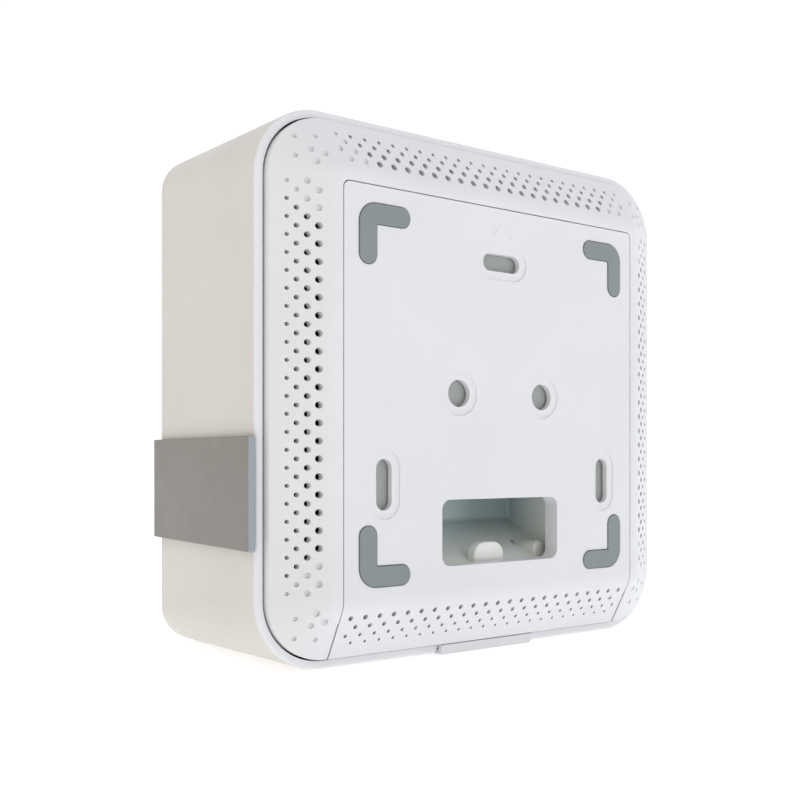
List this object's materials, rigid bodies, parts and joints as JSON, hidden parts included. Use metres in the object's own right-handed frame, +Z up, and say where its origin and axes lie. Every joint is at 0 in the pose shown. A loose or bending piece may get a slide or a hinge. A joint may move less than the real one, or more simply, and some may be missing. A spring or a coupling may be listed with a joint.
{
  "type": "ceiling access point",
  "caption": "Deep square wireless access point on a slide-off wall or ceiling plate, with a vented rear bevel, port bay, side accent band, rubber pads and release tab.",
  "frame": {"origin": "centre of the mounting plate's rear face, on the wall or ceiling plane", "axes": "+Y out of the wall towards the front of the unit, +Z up on a wall, towards the arrow mark, +X to the right as seen from the wall side"},
  "size_m": [0.1685, 0.0879, 0.1664],
  "materials": {
    "shell_white": "fine spark-eroded white, slightly warm",
    "cover_white": "fine spark-eroded white",
    "plate_white": "fine spark-eroded white",
    "band_grey": "satin warm grey",
    "grey_rubber": "matt grey rubber",
    "bay_white": "plain moulded",
    "lens": "frosted clear",
    "board_green": "solder mask",
    "chip_black": "moulded epoxy",
    "thermal_blue": "soft pad",
    "aluminium": "extruded",
    "tin": "tin plate",
    "antenna_brass": "stamped",
    "jack_black": "glass-filled black",
    "button_white": "plain moulded",
    "screw_steel": "zinc plated"
  },
  "bodies": {
    "plate": {"mounting_plate": "plate_white", "foot_pad_1": "grey_rubber", "foot_pad_2": "grey_rubber", "foot_pad_3": "grey_rubber", "foot_pad_4": "grey_rubber"},
    "tab": {"release_tab": "plate_white"},
    "device": {"main_housing": "shell_white", "rear_cover": "cover_white", "accent_band": "band_grey", "status_lens": "lens", "led_board": "board_green", "port_bay": "bay_white", "lan_jack_1": "jack_black", "lan_jack_2": "jack_black", "power_jack": "jack_black", "reset_switch": "chip_black", "main_board": "board_green", "processor": "chip_black", "thermal_pad": "thermal_blue", "heat_sink": "aluminium", "shield_can_1": "tin", "shield_can_2": "tin", "antenna_1": "antenna_brass", "antenna_2": "antenna_brass", "antenna_3": "antenna_brass", "antenna_4": "antenna_brass", "cover_screw_1": "screw_steel", "cover_screw_2": "screw_steel", "cover_screw_3": "screw_steel", "cover_screw_4": "screw_steel", "board_screw_1": "screw_steel", "board_screw_2": "screw_steel", "board_screw_3": "screw_steel", "board_screw_4": "screw_steel"},
    "reset": {"reset_button": "button_white"}
  },
  "joints": [
    {"name": "device_lift", "type": "slide", "parent": "plate", "child": "device", "axis": [0, 0, 1], "range_m": [0, 0.008]},
    {"name": "tab_flex", "type": "hinge", "parent": "plate", "child": "tab", "pos_m": [0.0019, 0.01, -0.0801], "axis": [-1, 0, 0], "range_deg": [0, 8], "stiffness_Nm_per_rad": 0.5},
    {"name": "reset_press", "type": "slide", "parent": "device", "child": "reset", "axis": [0, 1, 0], "range_m": [0, 0.0007], "stiffness_N_per_m": 700}
  ]
}
